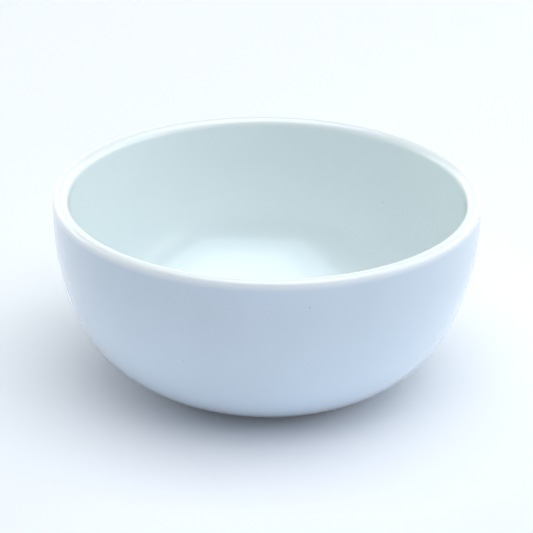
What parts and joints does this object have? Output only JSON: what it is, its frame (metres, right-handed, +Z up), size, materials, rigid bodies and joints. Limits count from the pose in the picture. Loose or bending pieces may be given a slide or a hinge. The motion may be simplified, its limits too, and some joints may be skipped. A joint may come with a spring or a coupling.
{
  "type": "evaporating dish",
  "caption": "Thick-walled round porcelain dish with a rounded lip, upright curved wall, slightly dished floor and low bare foot ring, for evaporating and heating liquids.",
  "frame": {"origin": "centre of the plane that the foot ring rests on", "axes": "+Z up along the dish's axis, out of its mouth; the dish is round, so +X and +Y are any two level directions at right angles"},
  "size_m": [0.1, 0.1, 0.045],
  "materials": {
    "bare_porcelain": "fired, unglazed, finely ground matt",
    "inside_glaze": "glossy white glaze",
    "outside_glaze": "glossy white glaze",
    "recess_glaze": "glossy white glaze, thin and slightly uneven"
  },
  "bodies": {
    "root": {"porcelain_body": "bare_porcelain", "inside_glaze": "inside_glaze", "outside_glaze": "outside_glaze", "recess_glaze": "recess_glaze"}
  },
  "joints": []
}
